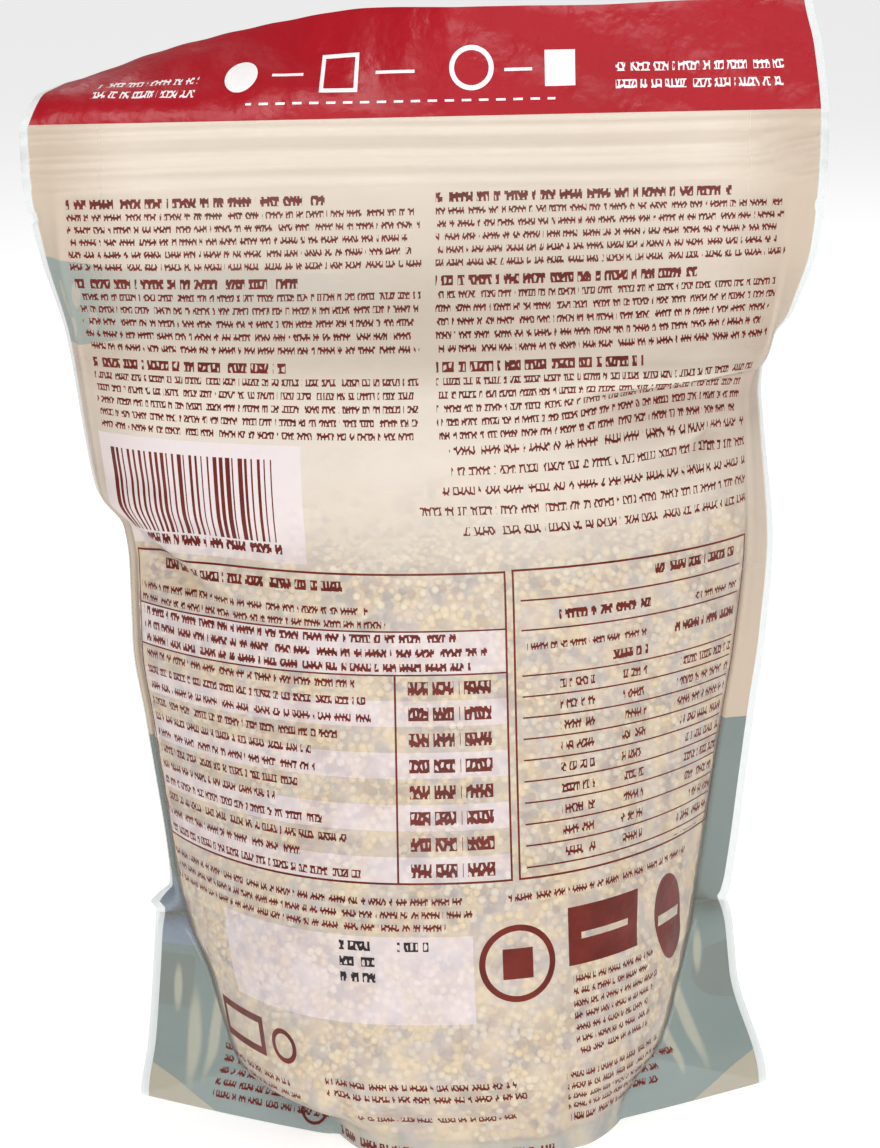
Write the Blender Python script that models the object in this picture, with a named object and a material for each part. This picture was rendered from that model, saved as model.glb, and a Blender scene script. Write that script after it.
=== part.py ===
"""Stand-up zip pouch of three-colour quinoa, 500 g, shut and full, with its back panel towards -Y.

It is one closed body. It starts as the flat pouch that leaves the pouch machine: a grid of film,
given its second side and the pleat in its bottom. Then each corner of that flat pouch is carried
to the place where it is when the pouch is full and stands on its bottom skirt.

The script's own unit is the millimetre, and the mesh is made in metres. +Z is up, X runs across
the panel, and the origin is the bottom centre of the bounding box.
"""

import functools
import math

import bmesh
import bpy
import numpy as np

MM = 0.001

# Driving dimensions, in millimetres
FLAT_WIDTH = 160.0
SIDE_SEAL = 7.0
HEADER_BASE = 199.5
HEADER_HEIGHT = 22.3
ZIP_HEIGHT = 192.5
PLEAT_HEIGHT = 42.0
BOTTOM_SEAL = 4.0
EAR_DEPTH = 37.0
SEALED_FILM = 0.8
SKIRT_RIM = 1.3
CENTRE_SHIFT = 1.2

# Height and half depth of the full pouch, up its middle
DEPTH = (
    (0, 43), (4, 43), (7, 42.6), (13, 45), (30, 46), (50, 44.6), (64, 41.5), (78, 38.3), (92, 35.5),
    (108, 33.5), (120, 29.5), (135, 26), (150, 19), (172, 7), (189, 1.6), (200, 0), (223, 0),
)
# Height and distance from the middle at which the contents stop filling the pouch, on its left and right
LEFT_SEAM = (
    (0, 22.5), (4, 24), (7, 34), (10, 41.5), (14, 44.2), (20, 46.1), (30, 49), (37.5, 52.4), (43.4, 54.4),
    (60, 56.6), (80, 59.2), (96, 61.2), (112, 61.2), (119.5, 62), (126, 66.4), (133.5, 67.5), (157, 70.1),
    (176, 73), (200, 73.3),
)
RIGHT_SEAM = (
    (0, 34), (4, 35), (8, 38), (14, 43), (24, 46.4), (41, 50.7), (64, 54.4), (80, 57), (94, 59.4),
    (118, 61.8), (142, 61.6), (155, 65.9), (172, 69.2), (198, 70.9), (212, 69.6), (223, 67.5),
)
# Height and distance from the middle of the free edges of the ears, up to the flat side seals
LEFT_EAR = ((0, 63.7), (12, 61.8), (38, 59.4), (40.8, 59.2))
RIGHT_EAR = ((0, 65), (24, 59), (28, 58.7), (36.5, 57.9), (40.8, 56.8))
# Height and angle, in degrees, through which each side seal is turned to the far side
LEFT_TURN = (
    (0, 0), (40, 0), (43, 70), (50, 78), (60, 84), (112, 80), (130, 70), (157, 64), (175, 46), (188, 10),
    (195, 0),
)
RIGHT_TURN = (
    (0, 0), (48, 10), (77, 25), (110, 38), (134, 56), (144, 62), (154, 79), (159, 54), (163, 45), (175, 12),
    (188, 0),
)

# The header leans back from the middle to its left end
LEAN_START = 5.0
LEAN_ANGLE = 86.0
LEAN_SOFTNESS = 0.06
LEAN_INWARD = 10.0
LEAN_BEND = 0.35

# The grid of the flat pouch
COLUMNS = 34
SEAL_COLUMNS = (2.3, 4.6, 7.0)
ROW_BANDS = (
    (0, 4, 2), (4, 40.3, 8), (40.3, 41.3, 1), (41.3, 52, 3), (52, 112, 11), (112, 157, 10),
    (157, 186, 5), (186, 189.5, 2), (189.5, 195.5, 4), (195.5, 199.5, 1), (199.5, 201.5, 1),
    (201.5, 221.8, 4),
)
PLEAT_LEVELS = 4
FLAT_HALF = 10.0
RIM_INSET = 3.0

CREAM = (0.80, 0.73, 0.60, 1.0)
RED = (0.45, 0.014, 0.024, 1.0)


def curve(points):
    """A smooth curve through a few points of height and value, that doesn't swing past them."""
    at, value = np.array(points, dtype=float).T
    step = np.diff(at)
    slope = np.diff(value) / step
    tangent = np.zeros(len(at))
    for i in range(1, len(at) - 1):
        if slope[i - 1] * slope[i] > 0:
            tangent[i] = 2 * slope[i - 1] * slope[i] / (slope[i - 1] + slope[i])

    def read(height):
        i = int(np.clip(np.searchsorted(at, height) - 1, 0, len(step) - 1))
        t = min(max((height - at[i]) / step[i], 0.0), 1.0)
        rise = value[i] * (1 + 2 * t) * (1 - t) ** 2 + value[i + 1] * t * t * (3 - 2 * t)
        return rise + step[i] * t * (1 - t) * (tangent[i] * (1 - t) - tangent[i + 1] * t)

    return read


half_depth = curve(DEPTH)
seams = {-1: curve(LEFT_SEAM), 1: curve(RIGHT_SEAM)}
ears = {-1: curve(LEFT_EAR), 1: curve(RIGHT_EAR)}
ear_tops = {-1: LEFT_EAR[-1][0], 1: RIGHT_EAR[-1][0]}
turns = {-1: curve(LEFT_TURN), 1: curve(RIGHT_TURN)}


def ramp(value, start, end):
    """0 before start, 1 after end, and a smooth step between them."""
    t = np.clip((value - start) / (end - start), 0.0, 1.0)
    return t * t * (3 - 2 * t)


def hump(value, centre, width):
    return np.exp(-(((value - centre) / width) ** 2))


def edge(height, side):
    """Distance from the middle of the film's edge on one side, with its seal laid out flat."""
    return ears[side](height) if height <= ear_tops[side] else seams[side](height) + SIDE_SEAL


def seal_start(height, side):
    """Distance from the middle where the flat side seal starts. The ears open from their very edge."""
    return ears[side](height) + (seams[side](height) - ears[side](height)) * ramp(height, 35.0, 44.0)


def seal_mark(height, side):
    """Distance from the middle of the line that lies the seal's width from the edge of the flat film."""
    inner_ear = ears[side](height) - SIDE_SEAL
    return inner_ear + (seams[side](height) - inner_ear) * ramp(height, 35.0, 44.0)


def ear_depth(x, height):
    """Half depth of the flat ears, which slant together to the two side edges."""
    reach = np.where(x < 0, seal_start(height, -1), seal_start(height, 1))
    outward = np.clip(np.abs(x) / reach, 0.0, 1.0)
    fade = (1 - 0.42 * height / PLEAT_HEIGHT) * (1 - ramp(height, 36.0, 75.0))
    return EAR_DEPTH * fade * (1 - outward**1.25)


def full_depth(x, height):
    """Half depth of the full pouch. Between the seams, the contents push the film out past the ears."""
    left, right = (seams[side](height) for side in (-1, 1))
    across = np.clip(np.abs(2 * x - right + left) / (right + left), 0.0, 1.0)
    ear = ear_depth(x, height)
    return ear + np.maximum(half_depth(height) - ear, 0.0) * (1 - across**2.2) ** 0.85


def dents(x, height, side):
    """Hollows pressed into the film: deep folds at the near panel's sides, softer ones in the far panel."""
    if side > 0:
        right_hollow = 3.0 * hump(height, 140.0, 8.0) * hump(x, 28.0, 18.0)
        left_hollow = 2.0 * hump(height, 120.0, 6.0) * hump(x, -34.0, 14.0)
        return right_hollow + left_hollow
    right_fold = 6.0 * hump(height, 147.0, 5.0) * ramp(x, 22.0, 48.0)
    left_crease = 3.0 * hump(height, 119.0 - 0.8 * (x + 62.0), 3.0) * ramp(-x, 42.0, 56.0)
    middle_hollow = 1.5 * hump(height, 128.0, 6.0) * hump(x, -20.0, 26.0)
    return right_fold + left_crease + middle_hollow


def zip_relief(height):
    """The pressed zip inside the film: a rib between two shallow grooves."""
    rib = 0.7 * hump(height, ZIP_HEIGHT, 1.1)
    return rib - 0.3 * hump(height, ZIP_HEIGHT - 3.0, 0.8) - 0.3 * hump(height, ZIP_HEIGHT + 3.0, 0.8)


def film_depth(x, height, side):
    """Distance of one film's outer face from the middle plane."""
    full = full_depth(x, height)
    full = np.maximum(full - dents(x, height, side) * ramp(full, 0.0, 12.0), 0.0)
    opened = ramp(full, 0.0, 1.5) + ramp(height, 150.0, 186.0)
    return SEALED_FILM / 2 + full + zip_relief(height) * np.clip(opened, 0.0, 1.0)


@functools.lru_cache(maxsize=None)
def row(height, side):
    """Points from edge to edge of one film at this height, and where each one lies on the flat film."""
    marks = (-edge(height, -1), -seal_mark(height, -1), seal_mark(height, 1), edge(height, 1))
    x = np.union1d(np.linspace(marks[0], marks[-1], 800), marks)
    depth = film_depth(x, height, side)
    along = np.concatenate(([0.0], np.cumsum(np.hypot(np.diff(x), np.diff(depth)))))
    half = FLAT_WIDTH / 2
    flat_marks = (-half, SIDE_SEAL - half, half - SIDE_SEAL, half)
    return x, depth, np.interp(along, np.interp(marks, x, along), flat_marks)


def fold_push(x, height):
    """At the right fold, both films go back below the fold's line and forward above it."""
    above = height - 147.0 - 0.0022 * max(x - 34.0, 0.0) ** 2
    back = 3.6 * hump(above, -1.8, 2.2 if above > -1.8 else 8.0) * ramp(x, 20.0, 48.0)
    forward = 2.4 * hump(above, 1.8, 8.0 if above > 1.8 else 1.6) * ramp(x, 22.0, 50.0)
    return back - forward


def sway(x, height):
    """Slow waves of the empty upper part, which no contents hold straight, and the fold below it."""
    strength = ramp(height, 140.0, 180.0) * (1 - 0.6 * ramp(height, 186.0, 200.0))
    return 1.4 * math.sin(x / 33.0 + 0.5) * strength + fold_push(x, height)


def turned_seal(x, y, height):
    """Turns the side seal about its seam, away from the viewer."""
    side = -1 if x < 0 else 1
    seam = seal_start(height, side)
    past = abs(x) - seam
    if past <= 0:
        return x, y
    angle = math.radians(turns[side](height)) * min(past / 2.0, 1.0)
    out = past * math.cos(angle) - y * math.sin(angle)
    back = past * math.sin(angle) + y * math.cos(angle)
    return side * (seam + out), back


def leaning_header(x, y, height):
    """Bends the header back, more and more towards its left end."""
    up = height - HEADER_BASE
    if up <= 0:
        return x, y, height
    share = max((LEAN_START - x) / (LEAN_START + FLAT_WIDTH / 2), 0.0)
    angle = math.radians(LEAN_ANGLE) * share**1.7 / (share + LEAN_SOFTNESS) ** 0.8
    steps = 16
    rise = 0.0
    back = 0.0
    for i in range(steps):
        here = angle * min((i + 0.5) / steps * up / (HEADER_HEIGHT * LEAN_BEND), 1.0)
        rise += math.cos(here) * up / steps
        back += math.sin(here) * up / steps
    tip = angle * min(up / (HEADER_HEIGHT * LEAN_BEND), 1.0)
    inward = LEAN_INWARD * share**1.2 * up / HEADER_HEIGHT
    return x + inward, back + y * math.cos(tip), HEADER_BASE + rise - y * math.sin(tip)


def filled(u, height, w):
    """Place of a point of the flat pouch once the pouch is full. w is -1 or 1 on the two outer faces."""
    side = -1 if w < 0 else 1
    xs, depths, flat = row(height, side)
    x = float(np.interp(u, flat, xs))
    depth = float(np.interp(u, flat, depths))
    y = side * (depth if abs(w) == 1 else max(depth - SKIRT_RIM, 0.3))
    x, y = turned_seal(x, y, height)
    y += sway(x, height)
    x, y, z = leaning_header(x, y, height)
    return x + CENTRE_SHIFT, y, z


def pleat_rise(u):
    """Height on the flat film of the pleat's seal, which runs where the contents stop."""
    height = BOTTOM_SEAL
    while height < PLEAT_HEIGHT:
        xs, _, flat = row(height, -1)
        x = float(np.interp(u, flat, xs))
        if abs(x) < seams[-1 if x < 0 else 1](height):
            break
        height += 0.5
    return height


def row_heights():
    heights = [0.0]
    for start, end, count in ROW_BANDS:
        heights += [start + (end - start) * (i + 1) / count for i in range(count)]
    return heights


def column_places():
    seam = FLAT_WIDTH / 2 - SIDE_SEAL
    inner = [seam * (2 * i / COLUMNS - 1) for i in range(COLUMNS + 1)]
    return [-seam - w for w in reversed(SEAL_COLUMNS)] + inner + [seam + w for w in SEAL_COLUMNS]


def flat_pouch():
    """The pouch lying flat: X across, Z up the film, Y through it, near film at -FLAT_HALF."""
    columns = column_places()
    heights = row_heights()
    bm = bmesh.new()
    bmesh.ops.create_grid(bm, x_segments=len(columns) - 1, y_segments=len(heights) - 1, size=1)
    for vert in bm.verts:
        column = round((vert.co.x + 1) / 2 * (len(columns) - 1))
        level = round((vert.co.y + 1) / 2 * (len(heights) - 1))
        vert.co = (columns[column], -FLAT_HALF, heights[level])
    far = bmesh.ops.extrude_face_region(bm, geom=bm.faces[:])["geom"]
    for vert in far:
        if isinstance(vert, bmesh.types.BMVert):
            vert.co.y = FLAT_HALF
    bmesh.ops.recalc_face_normals(bm, faces=bm.faces)
    return bm


def add_pleat(bm):
    """Opens the bottom between the side seals and pushes it up to the pleat's seal, level by level."""
    seam = FLAT_WIDTH / 2 - SIDE_SEAL
    strip = [f for f in bm.faces if all(v.co.z < 0.01 and abs(v.co.x) < seam + 0.1 for v in f.verts)]
    bmesh.ops.inset_region(bm, faces=strip, thickness=RIM_INSET, use_even_offset=True)
    for level in range(PLEAT_LEVELS):
        out = bmesh.ops.extrude_face_region(bm, geom=strip)["geom"]
        bmesh.ops.delete(bm, geom=strip, context="FACES")
        strip = [f for f in out if isinstance(f, bmesh.types.BMFace)]
        for vert in {v for f in strip for v in f.verts}:
            vert.co.z = (pleat_rise(vert.co.x) - 1.0) * (level + 1) / PLEAT_LEVELS


def fill(bm):
    for vert in bm.verts:
        x, y, z = filled(vert.co.x, vert.co.z, vert.co.y / FLAT_HALF)
        vert.co = (x * MM, y * MM, z * MM)


def film_material(name, colour, roughness):
    material = bpy.data.materials.new(name)
    material.use_nodes = True
    shader = material.node_tree.nodes["Principled BSDF"]
    shader.inputs["Base Color"].default_value = colour
    shader.inputs["Roughness"].default_value = roughness
    shader.inputs["Metallic"].default_value = 0.0
    return material


def make_pouch():
    bm = flat_pouch()
    add_pleat(bm)
    header = {f for f in bm.faces if f.calc_center_median().z > HEADER_BASE}
    for face in bm.faces:
        face.material_index = 1 if face in header else 0
    fill(bm)
    bmesh.ops.recalc_face_normals(bm, faces=bm.faces)
    mesh = bpy.data.meshes.new("pouch")
    bm.to_mesh(mesh)
    bm.free()
    mesh.materials.append(film_material("cream_film", CREAM, 0.45))
    mesh.materials.append(film_material("red_header_film", RED, 0.4))
    mesh.shade_smooth()
    mesh.set_sharp_from_angle(angle=math.radians(40))
    pouch = bpy.data.objects.new("pouch", mesh)
    bpy.context.scene.collection.objects.link(pouch)
    return pouch


for old in list(bpy.data.objects):
    bpy.data.objects.remove(old)
make_pouch()
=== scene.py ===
# %% [markdown]
# # A full stand-up pouch of three-colour quinoa
#
# The object is a shut zip pouch that stands on its bottom skirt, with its back panel towards us.
# It is made the way the real one is filled: a flat pouch is drawn as plain grids of film, every
# point of the flat film is carried to its place on the full pouch, and then grain is put inside.
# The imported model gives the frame, and everything here is made around it in the same metres.

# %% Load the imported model
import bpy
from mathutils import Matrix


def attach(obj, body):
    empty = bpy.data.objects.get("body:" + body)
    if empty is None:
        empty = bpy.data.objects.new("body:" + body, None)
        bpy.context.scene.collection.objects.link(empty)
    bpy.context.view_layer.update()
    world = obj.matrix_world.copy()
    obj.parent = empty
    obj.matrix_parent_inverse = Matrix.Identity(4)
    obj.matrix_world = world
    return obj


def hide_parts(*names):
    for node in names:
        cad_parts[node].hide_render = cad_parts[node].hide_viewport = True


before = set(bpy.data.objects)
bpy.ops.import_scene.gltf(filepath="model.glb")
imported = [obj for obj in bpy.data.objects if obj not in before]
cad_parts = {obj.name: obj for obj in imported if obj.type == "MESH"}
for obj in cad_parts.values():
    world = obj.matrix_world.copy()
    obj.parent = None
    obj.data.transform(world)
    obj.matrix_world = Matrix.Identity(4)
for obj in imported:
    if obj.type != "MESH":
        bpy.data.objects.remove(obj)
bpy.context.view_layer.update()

# %% Blender's modules
import functools
import math

import bmesh
import bpy
import numpy as np
from mathutils import Matrix, Vector, noise

MM = 0.001

# %% [markdown]
# ## The camera
#
# The photograph looks slightly down at the pouch from in front of its back panel. The camera is
# placed by that angle and its distance, and its lens follows from the width that fits across the
# picture at the pouch. A lens measured across the width keeps the framing of an upright picture.

# %% Camera
LOOK_DOWN = math.radians(13)
CAMERA_DISTANCE = 0.85
PICTURE_WIDTH = 0.176
PICTURE_CENTRE = Vector((0.0012, 0.0, 0.1085))
CAMERA_ROLL = math.radians(1.2)
SENSOR_WIDTH = 36


def link(name, data):
    """An object of this mesh, lamp or camera, placed in the scene."""
    made = bpy.data.objects.new(name, data)
    bpy.context.scene.collection.objects.link(made)
    return made


def make_camera():
    forward = Vector((0, math.cos(LOOK_DOWN), -math.sin(LOOK_DOWN)))
    right = Vector((1, 0, 0))
    up = right.cross(forward)
    rolled_right = right * math.cos(CAMERA_ROLL) - up * math.sin(CAMERA_ROLL)
    rolled_up = right * math.sin(CAMERA_ROLL) + up * math.cos(CAMERA_ROLL)
    data = bpy.data.cameras.new("camera")
    data.sensor_fit = "HORIZONTAL"
    data.sensor_width = SENSOR_WIDTH
    data.lens = SENSOR_WIDTH * CAMERA_DISTANCE / PICTURE_WIDTH
    data.clip_start = 0.01
    camera = link("camera", data)
    turn = Matrix((rolled_right, rolled_up, -forward)).transposed().to_4x4()
    camera.matrix_world = Matrix.Translation(PICTURE_CENTRE - forward * CAMERA_DISTANCE) @ turn
    bpy.context.scene.camera = camera
    return camera


print("camera lens in mm", round(make_camera().data.lens, 1))

# %% [markdown]
# ## Sizes of the pouch
#
# All sizes below are millimetres, as on a pouch maker's drawing. The half depth and the two seam
# lines say how far the grain pushes the film out at each height. They could be sculpted by hand,
# but a few measured heights joined by a smooth curve give the same form each time, and both the
# film and the grain inside can read them.

# %% Sizes
FLAT_WIDTH = 160.0
HALF_WIDTH = FLAT_WIDTH / 2
SIDE_SEAL = 7.0
HEADER_BASE = 199.5
HEADER_HEIGHT = 22.3
POUCH_HEIGHT = 221.8
ZIP_HEIGHT = 193.7
PLEAT_HEIGHT = 42.0
BOTTOM_SEAL = 4.0
EAR_DEPTH = 37.0
FILM_HALF = 0.15
CENTRE_SHIFT = 1.2
LEFT, RIGHT = -1, 1
NEAR, FAR = -1, 1

# Height and half depth of the full pouch, up its middle
DEPTH = (
    (0, 43), (4, 43), (7, 42.6), (13, 45), (30, 46), (50, 44.6), (64, 41.5), (78, 38.3), (92, 35.5),
    (108, 33.5), (120, 29.5), (135, 26), (150, 19), (172, 7), (189, 1.6), (200, 0), (223, 0),
)
# Height and distance from the middle at which the grain stops filling the pouch
LEFT_SEAM = (
    (0, 22.5), (4, 24), (7, 34), (10, 41.5), (14, 44.2), (20, 46.1), (30, 49), (37.5, 52.4), (43.4, 54.4),
    (60, 56.6), (80, 59.2), (96, 61.2), (112, 61.2), (119.5, 62), (126, 66.4), (133.5, 67.5), (157, 70.1),
    (176, 73), (200, 73.3),
)
RIGHT_SEAM = (
    (0, 34), (4, 35), (8, 38), (14, 43), (24, 46.4), (41, 50.7), (64, 54.4), (80, 57), (94, 59.4),
    (118, 61.8), (142, 61.6), (155, 65.9), (172, 69.2), (198, 70.9), (212, 69.6), (223, 67.5),
)
# Height and distance from the middle of the ears' free edges, up to the flat side seals
LEFT_EAR = ((0, 63.7), (12, 61.8), (38, 59.4), (40.8, 59.2))
RIGHT_EAR = ((0, 65), (24, 59), (28, 58.7), (36.5, 57.9), (40.8, 56.8))
# Height and angle in degrees through which each side seal is turned back
LEFT_TURN = (
    (0, 0), (40, 0), (43, 70), (50, 78), (60, 84), (112, 80), (130, 70), (157, 64), (175, 46), (188, 10),
    (195, 0),
)
RIGHT_TURN = (
    (0, 0), (48, 10), (77, 25), (110, 38), (134, 56), (144, 62), (154, 79), (159, 54), (163, 45), (175, 12),
    (188, 0),
)
print("flat film", FLAT_WIDTH, "by", POUCH_HEIGHT, "mm")

# %% Reading a curve, and smooth steps


def curve(points):
    """A smooth curve through a few points of height and value, that doesn't swing past them."""
    at, value = np.array(points, dtype=float).T
    step = np.diff(at)
    slope = np.diff(value) / step
    tangent = np.zeros(len(at))
    for i in range(1, len(at) - 1):
        if slope[i - 1] * slope[i] > 0:
            tangent[i] = 2 * slope[i - 1] * slope[i] / (slope[i - 1] + slope[i])

    def read(height):
        i = np.clip(np.searchsorted(at, height) - 1, 0, len(step) - 1)
        t = np.clip((height - at[i]) / step[i], 0.0, 1.0)
        rise = value[i] * (1 + 2 * t) * (1 - t) ** 2 + value[i + 1] * t * t * (3 - 2 * t)
        return rise + step[i] * t * (1 - t) * (tangent[i] * (1 - t) - tangent[i + 1] * t)

    return read


def ramp(value, start, end):
    """0 before start, 1 after end, and a smooth step between them."""
    t = np.clip((value - start) / (end - start), 0.0, 1.0)
    return t * t * (3 - 2 * t)


def hump(value, centre, width):
    return np.exp(-(((value - centre) / width) ** 2))


def ledge(value, line, above, below):
    """A fold's profile down the film: it sinks fast just above the line, then comes slowly back."""
    return hump(value, line, np.where(value > line, above, below))


half_depth = curve(DEPTH)
seams = {LEFT: curve(LEFT_SEAM), RIGHT: curve(RIGHT_SEAM)}
ears = {LEFT: curve(LEFT_EAR), RIGHT: curve(RIGHT_EAR)}
ear_tops = {LEFT: LEFT_EAR[-1][0], RIGHT: RIGHT_EAR[-1][0]}
turns = {LEFT: curve(LEFT_TURN), RIGHT: curve(RIGHT_TURN)}
print("half depth 30 mm up", round(half_depth(30.0), 1), "mm")

# %% [markdown]
# ## The form of the full pouch
#
# The film of a stand-up pouch is flat at its side seals and bulges between them. At the bottom, the
# side seals of both panels stop at the pleat, so the panels stand apart there as two flat ears.
# Each function below gives one of these: where the film's edge is, how deep the ears are, and how
# far the grain pushes the film out past them.

# %% Edges, ears and belly


def edge(height, side):
    """Distance from the middle of the film's edge on one side, with its seal laid out flat."""
    return ears[side](height) if height <= ear_tops[side] else seams[side](height) + SIDE_SEAL


def seal_start(height, side):
    """Distance from the middle where the flat side seal starts. The ears open from their very edge."""
    return ears[side](height) + (seams[side](height) - ears[side](height)) * ramp(height, 35.0, 44.0)


def seal_mark(height, side):
    """Distance from the middle of the line that lies the seal's width from the edge of the flat film."""
    inner_ear = ears[side](height) - SIDE_SEAL
    return inner_ear + (seams[side](height) - inner_ear) * ramp(height, 35.0, 44.0)


def ear_depth(x, height):
    """Half depth of the flat ears, which slant together to the two side edges."""
    reach = np.where(x < 0, seal_start(height, LEFT), seal_start(height, RIGHT))
    outward = np.clip(np.abs(x) / reach, 0.0, 1.0)
    fade = (1 - 0.42 * height / PLEAT_HEIGHT) * (1 - ramp(height, 36.0, 75.0))
    return EAR_DEPTH * fade * (1 - outward**1.25)


def full_depth(x, height):
    """Half depth of the full pouch. Between the seams, the grain pushes the film out past the ears."""
    left, right = seams[LEFT](height), seams[RIGHT](height)
    across = np.clip(np.abs(2 * x - right + left) / (right + left), 0.0, 1.0)
    ear = ear_depth(x, height)
    return ear + np.maximum(half_depth(height) - ear, 0.0) * (1 - across**2.2) ** 0.85


print("depth of the belly 40 mm up", round(2 * float(full_depth(np.array(0.0), 40.0)), 1), "mm")

# %% [markdown]
# ## Folds, creases and puckers
#
# Film is stiff enough to fold sharply where the full lower part meets the empty upper part. The
# back panel has one deep fold from its right seam, where the film above hangs over the film below,
# and a slanting crease at its left seam. Small puckers run in from both side seals. They could come
# from a cloth simulation, but then they wouldn't land where the real ones are, so each is written as
# a depth that is taken off the smooth form.

# %% Folds
# Depth, place across and width of the upright folds by the floor
SKIRT_FOLDS = ((1.5, -22.0, 2.2), (1.2, 24.0, 2.0), (0.6, -9.0, 3.0), (0.5, 12.0, 2.6))


def side_puckers(x, height, side):
    """Short ridges that run in from the side seals and die out within 15 mm."""
    total = 0.0
    for end, beat in ((LEFT, 8.3), (RIGHT, 7.1)):
        inward = np.clip(seams[end](height) - end * x, 0.0, None)
        drift = 0.9 * np.sin(height / 13.0 + end) + 0.5 * side * np.sin(height / 5.3)
        ridge = 1 - np.abs(np.sin(math.pi * (height + inward * 0.35) / beat + drift))
        strength = 0.45 + 0.35 * np.sin(height / 17.0 + 2.0 * end * side)
        total = total + strength * ridge * np.exp(-inward / 6.5)
    return total * ramp(height, 46.0, 60.0) * (1 - ramp(height, 176.0, 188.0))


def skirt_folds(x, height):
    """Upright folds where the round belly meets the floor, and a crease above the bottom seal."""
    low = 1 - ramp(height, 9.0, 27.0)
    upright = sum(depth * hump(x, place, width) for depth, place, width in SKIRT_FOLDS)
    level = 1.1 * hump(height, 7.0, 1.5) * hump(x, 2.0, 27.0)
    return upright * low + level


def right_fold_line(x):
    return 147.0 + 0.0022 * np.maximum(x - 34.0, 0.0) ** 2


def left_crease_line(x):
    return 120.0 - 0.62 * (x + 60.0)


def near_folds(x, height):
    """How far the folds sink into the near panel."""
    line = right_fold_line(x)
    deep = 6.2 * ledge(height, line - 1.6, 1.8, 7.0) * ramp(x, 20.0, 44.0)
    second = 2.4 * ledge(height, line - 12.0 + 0.2 * (x - 50.0), 1.2, 4.0) * ramp(x, 32.0, 50.0)
    third = 1.6 * ledge(height, line + 9.0 + 0.3 * (x - 50.0), 3.2, 1.4) * ramp(x, 38.0, 56.0)
    pinch = 2.0 * hump(x - 53.0, 0.8 * (height - 136.0), 1.6) * hump(height, 137.0, 6.0)
    slant = left_crease_line(x)
    crease = 4.6 * ledge(height, slant - 1.2, 1.3, 4.2) * ramp(-x, 38.0, 54.0)
    upper = 1.8 * ledge(height, slant + 10.0 + 0.5 * (x + 60.0), 3.0, 1.3) * ramp(-x, 48.0, 60.0)
    middle = 1.3 * hump(height, 128.0 + 0.12 * x, 5.0) * hump(x, -14.0, 26.0)
    under_bars = 1.2 * ledge(height, 112.0 - 0.2 * x, 1.6, 4.0) * hump(x, -44.0, 14.0)
    return deep + second + third + pinch + crease + upper + middle + under_bars


def near_swells(x, height):
    """How far the film hangs out over its two folds."""
    line = right_fold_line(x)
    over = 3.6 * ledge(height, line + 1.4, 7.0, 1.1) * ramp(x, 24.0, 50.0)
    slant = left_crease_line(x)
    return over + 2.8 * ledge(height, slant + 1.4, 4.4, 1.0) * ramp(-x, 38.0, 56.0)


def far_folds(x, height):
    right_hollow = 3.0 * hump(height, 140.0, 8.0) * hump(x, 28.0, 18.0)
    left_hollow = 2.4 * ledge(height, 120.0 + 0.2 * x, 2.5, 7.0) * hump(x, -34.0, 16.0)
    short_crease = 1.6 * ledge(height, 131.0 - 0.5 * x, 1.8, 5.0) * hump(x, 44.0, 9.0)
    return right_hollow + left_hollow + short_crease


def panel_folds(x, height, side):
    return near_folds(x, height) if side == NEAR else far_folds(x, height)


def slack_waves(x, height, side):
    """Shallow swells of the film above the grain, where nothing presses on it."""
    slack = ramp(height, 116.0, 150.0) * (1 - ramp(height, 178.0, 190.0))
    wave = np.sin(x / 11.0 + 1.1 * side) * np.sin(height / 9.0 + side)
    wave = wave + 0.7 * np.sin((x + height) / 17.0 - side)
    return 0.45 * slack * wave


def zip_relief(x, height, side):
    """The pressed zip between the films: a rib between two grooves, crushed at its right end."""
    level = height + 0.35 * np.sin(x / 21.0)
    begun = ramp(level, ZIP_HEIGHT - 7.0, ZIP_HEIGHT - 5.6)
    strip = 0.7 * begun * (1 - ramp(level, ZIP_HEIGHT + 4.6, ZIP_HEIGHT + 5.6))
    rib = 1.0 * hump(level, ZIP_HEIGHT, 1.1) + 0.3 * hump(level, ZIP_HEIGHT - 2.2, 0.5)
    grooves = 0.6 * hump(level, ZIP_HEIGHT - 3.4, 0.7) + 0.6 * hump(level, ZIP_HEIGHT + 3.0, 0.7)
    crushed = ramp(x, 60.0, 66.0) * hump(height, 192.0, 6.0)
    bite = 0.6 * (1 + np.sin(height * 1.7 + x) * np.sin(x * 1.5 - 0.4 * height)) * crushed
    return (strip + rib - grooves) * (1 - 0.7 * crushed) + bite


def film_depth(x, height, side):
    """Distance of one film from the middle plane."""
    full = full_depth(x, height)
    folds = panel_folds(x, height, side) + side_puckers(x, height, side)
    folds = folds + slack_waves(x, height, side) + skirt_folds(x, height)
    swells = near_swells(x, height) * ramp(full, 0.0, 2.5) if side == NEAR else 0.0
    full = np.maximum(full - folds * ramp(full, 0.0, 10.0) + swells, 0.0)
    opened = ramp(full, 0.0, 1.5) + ramp(height, 150.0, 186.0)
    return FILM_HALF + full + zip_relief(x, height, side) * np.clip(opened, 0.0, 1.0)


print("fold depth near the right seam", round(float(near_folds(np.array(60.0), 147.0)), 1), "mm")

# %% [markdown]
# ## From the flat film to the full pouch
#
# Print is laid on the flat film, so a point must keep its place on the film when the pouch fills.
# Each height of the pouch is measured along its bulging section, as with a tape, and a point of the
# flat film is set where the tape reads its place. Then the side seals turn back, the empty top
# sways, and the header leans away at its left.

# %% Carry a point of the flat film to its place
LEAN_START = 5.0
LEAN_ANGLE = 86.0
LEAN_SOFTNESS = 0.06
LEAN_INWARD = 10.0
LEAN_BEND = 0.35
LEAN_STEPS = 16

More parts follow.
